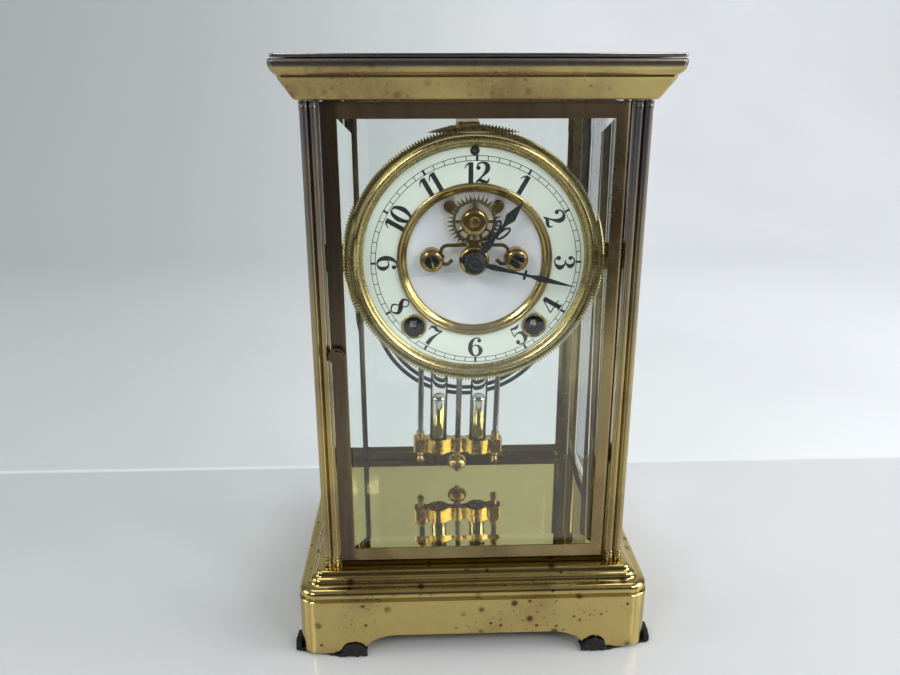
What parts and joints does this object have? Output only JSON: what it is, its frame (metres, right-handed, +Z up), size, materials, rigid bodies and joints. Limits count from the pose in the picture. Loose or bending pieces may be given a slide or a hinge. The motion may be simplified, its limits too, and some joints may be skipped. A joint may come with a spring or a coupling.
{
  "type": "four-glass mantel clock",
  "caption": "Brass mantel clock with bevelled glass on four sides, visible escapement in an enamel dial, hour strike on a coiled gong and a twin-vial pendulum.",
  "frame": {"origin": "centre of the case's footprint, on the ground under the felt pads", "axes": "+X to the viewer's right, +Y to the back, +Z up; the dial faces -Y"},
  "size_m": [0.17, 0.1396, 0.27],
  "materials": {
    "base": "polished, lightly tarnished",
    "floor_plate": "polished, lightly tarnished",
    "post_front_left": "polished, lightly tarnished",
    "post_front_right": "polished, lightly tarnished",
    "post_rear_left": "polished, lightly tarnished",
    "post_rear_right": "polished, lightly tarnished",
    "cornice": "polished, lightly tarnished",
    "top_plate": "brown tarnish",
    "left_glass": "clear, bevelled",
    "right_glass": "clear, bevelled",
    "foot_pad_front_left": "black felt",
    "foot_pad_front_right": "black felt",
    "foot_pad_rear_left": "black felt",
    "foot_pad_rear_right": "black felt",
    "mounting_ring": "satin",
    "dial_bezel": "polished, lightly tarnished",
    "chapter_ring": "glossy, ivory white",
    "inner_ring": "polished, lightly tarnished",
    "dial_centre": "glossy, white",
    "front_plate": "satin",
    "back_plate": "satin",
    "plate_pillar_1": "satin",
    "plate_pillar_2": "satin",
    "plate_pillar_3": "satin",
    "escapement_bridge": "aged bronze",
    "gong": "dark, oiled",
    "gong_post": "polished",
    "suspension_cock": "satin",
    "front_door_frame": "polished, lightly tarnished",
    "front_door_glass": "clear, bevelled",
    "front_door_knob": "polished, lightly tarnished",
    "rear_door_frame": "polished, lightly tarnished",
    "rear_door_glass": "clear, bevelled",
    "rear_door_knob": "polished, lightly tarnished",
    "time_barrel": "satin",
    "time_winding_arbor": "polished",
    "second_wheel": "satin",
    "centre_wheel": "satin",
    "minute_hand": "black",
    "hand_nut": "black",
    "third_wheel": "satin",
    "escape_wheel": "satin",
    "minute_wheel": "satin",
    "hour_wheel": "satin",
    "hour_hand": "black",
    "strike_barrel": "satin",
    "strike_winding_arbor": "polished",
    "pin_wheel": "satin",
    "fly": "satin",
    "hammer": "polished",
    "pallet_anchor": "polished",
    "crutch": "satin",
    "suspension_spring": "polished",
    "pendulum_frame": "satin",
    "left_vial": "clear, bevelled",
    "right_vial": "clear, bevelled",
    "left_mercury": "mirror",
    "right_mercury": "mirror",
    "rating_nut": "polished, lightly tarnished",
    "regulator_arbor": "polished"
  },
  "bodies": {
    "case": {"base": "base", "floor_plate": "floor_plate", "post_front_left": "post_front_left", "post_front_right": "post_front_right", "post_rear_left": "post_rear_left", "post_rear_right": "post_rear_right", "cornice": "cornice", "top_plate": "top_plate", "left_glass": "left_glass", "right_glass": "right_glass", "foot_pad_front_left": "foot_pad_front_left", "foot_pad_front_right": "foot_pad_front_right", "foot_pad_rear_left": "foot_pad_rear_left", "foot_pad_rear_right": "foot_pad_rear_right", "mounting_ring": "mounting_ring", "dial_bezel": "dial_bezel", "chapter_ring": "chapter_ring", "inner_ring": "inner_ring", "dial_centre": "dial_centre", "front_plate": "front_plate", "back_plate": "back_plate", "plate_pillar_1": "plate_pillar_1", "plate_pillar_2": "plate_pillar_2", "plate_pillar_3": "plate_pillar_3", "escapement_bridge": "escapement_bridge", "gong": "gong", "gong_post": "gong_post", "suspension_cock": "suspension_cock"},
    "front_door": {"front_door_frame": "front_door_frame", "front_door_glass": "front_door_glass"},
    "front_knob": {"front_door_knob": "front_door_knob"},
    "rear_door": {"rear_door_frame": "rear_door_frame", "rear_door_glass": "rear_door_glass"},
    "rear_knob": {"rear_door_knob": "rear_door_knob"},
    "time_barrel": {"time_barrel": "time_barrel"},
    "time_winding": {"time_winding_arbor": "time_winding_arbor"},
    "second_wheel": {"second_wheel": "second_wheel"},
    "minute_arbor": {"centre_wheel": "centre_wheel", "minute_hand": "minute_hand", "hand_nut": "hand_nut"},
    "third_wheel": {"third_wheel": "third_wheel"},
    "escape_wheel": {"escape_wheel": "escape_wheel"},
    "minute_wheel": {"minute_wheel": "minute_wheel"},
    "hour_wheel": {"hour_wheel": "hour_wheel", "hour_hand": "hour_hand"},
    "strike_barrel": {"strike_barrel": "strike_barrel"},
    "strike_winding": {"strike_winding_arbor": "strike_winding_arbor"},
    "pin_wheel": {"pin_wheel": "pin_wheel"},
    "fly": {"fly": "fly"},
    "hammer": {"hammer": "hammer"},
    "anchor": {"pallet_anchor": "pallet_anchor", "crutch": "crutch"},
    "pendulum": {"suspension_spring": "suspension_spring", "pendulum_frame": "pendulum_frame", "left_vial": "left_vial", "right_vial": "right_vial", "left_mercury": "left_mercury", "right_mercury": "right_mercury"},
    "rating_nut": {"rating_nut": "rating_nut"},
    "regulator": {"regulator_arbor": "regulator_arbor"}
  },
  "joints": [
    {"name": "front_door_hinge", "type": "hinge", "parent": "case", "child": "front_door", "pos_m": [0.0599, -0.0528, 0.1478], "axis": [0, 0, 1], "range_deg": [0, 90]},
    {"name": "front_knob_turn", "type": "hinge", "parent": "front_door", "child": "front_knob", "pos_m": [-0.06, -0.0528, 0.1467], "axis": [0, -1, 0], "range_deg": [0, 90]},
    {"name": "rear_door_hinge", "type": "hinge", "parent": "case", "child": "rear_door", "pos_m": [-0.0599, 0.0528, 0.1478], "axis": [0, 0, 1], "range_deg": [0, 90]},
    {"name": "rear_knob_turn", "type": "hinge", "parent": "rear_door", "child": "rear_knob", "pos_m": [0.06, 0.0528, 0.1467], "axis": [0, 1, 0], "range_deg": [0, 90]},
    {"name": "third_wheel_spin", "type": "hinge", "parent": "case", "child": "third_wheel", "pos_m": [0.01343, 0, 0.19568], "axis": [0, 1, 0], "continuous": true},
    {"name": "minute_arbor_spin", "type": "hinge", "parent": "case", "child": "minute_arbor", "pos_m": [0, 0, 0.185], "axis": [0, 1, 0], "continuous": true},
    {"name": "escape_wheel_spin", "type": "hinge", "parent": "case", "child": "escape_wheel", "pos_m": [0, 0, 0.2018], "axis": [0, 1, 0], "continuous": true},
    {"name": "second_wheel_spin", "type": "hinge", "parent": "case", "child": "second_wheel", "pos_m": [0.01528, 0, 0.17273], "axis": [0, 1, 0], "continuous": true},
    {"name": "time_barrel_spin", "type": "hinge", "parent": "case", "child": "time_barrel", "pos_m": [0.027, 0, 0.1553], "axis": [0, 1, 0], "continuous": true},
    {"name": "minute_wheel_spin", "type": "hinge", "parent": "case", "child": "minute_wheel", "pos_m": [0, 0, 0.175], "axis": [0, 1, 0], "continuous": true},
    {"name": "hour_wheel_spin", "type": "hinge", "parent": "case", "child": "hour_wheel", "pos_m": [0, 0, 0.185], "axis": [0, 1, 0], "continuous": true},
    {"name": "time_winding_spin", "type": "hinge", "parent": "case", "child": "time_winding", "pos_m": [0.027, 0, 0.1553], "axis": [0, 1, 0], "continuous": true},
    {"name": "strike_barrel_spin", "type": "hinge", "parent": "case", "child": "strike_barrel", "pos_m": [-0.027, 0, 0.1553], "axis": [0, 1, 0], "continuous": true},
    {"name": "pin_wheel_spin", "type": "hinge", "parent": "case", "child": "pin_wheel", "pos_m": [-0.02481, 0, 0.17619], "axis": [0, 1, 0], "continuous": true},
    {"name": "fly_spin", "type": "hinge", "parent": "case", "child": "fly", "pos_m": [-0.03008, 0, 0.19067], "axis": [0, 1, 0], "continuous": true},
    {"name": "strike_winding_spin", "type": "hinge", "parent": "case", "child": "strike_winding", "pos_m": [-0.027, 0, 0.1553], "axis": [0, 1, 0], "continuous": true},
    {"name": "hammer_lift", "type": "hinge", "parent": "case", "child": "hammer", "pos_m": [-0.0408, 0, 0.1761], "axis": [0, -1, 0], "range_deg": [0, 15]},
    {"name": "pendulum_swing", "type": "hinge", "parent": "case", "child": "pendulum", "pos_m": [0, 0.026, 0.2259], "axis": [0, 1, 0], "range_deg": [-5.4, 2.6]},
    {"name": "anchor_rock", "type": "hinge", "parent": "case", "child": "anchor", "pos_m": [0, 0, 0.2259], "axis": [0, 1, 0], "range_deg": [-5.4, 2.6]},
    {"name": "rating_nut_spin", "type": "hinge", "parent": "pendulum", "child": "rating_nut", "pos_m": [-0.00422, 0.026, 0.05335], "axis": [0.0244, 0, 0.9997], "continuous": true},
    {"name": "regulator_spin", "type": "hinge", "parent": "case", "child": "regulator", "pos_m": [0, 0, 0.2317], "axis": [0, 1, 0], "continuous": true}
  ],
  "couplings": [
    {"joint": "minute_arbor_spin", "follows": "third_wheel_spin", "ratio": -0.083333},
    {"joint": "escape_wheel_spin", "follows": "third_wheel_spin", "ratio": -10.714},
    {"joint": "second_wheel_spin", "follows": "third_wheel_spin", "ratio": 0.013889},
    {"joint": "time_barrel_spin", "follows": "third_wheel_spin", "ratio": -0.0023148},
    {"joint": "minute_wheel_spin", "follows": "third_wheel_spin", "ratio": 0.027778},
    {"joint": "hour_wheel_spin", "follows": "third_wheel_spin", "ratio": -0.0069444},
    {"joint": "pin_wheel_spin", "follows": "strike_barrel_spin", "ratio": -6},
    {"joint": "fly_spin", "follows": "strike_barrel_spin", "ratio": 51.429},
    {"joint": "anchor_rock", "follows": "pendulum_swing", "ratio": 1}
  ]
}
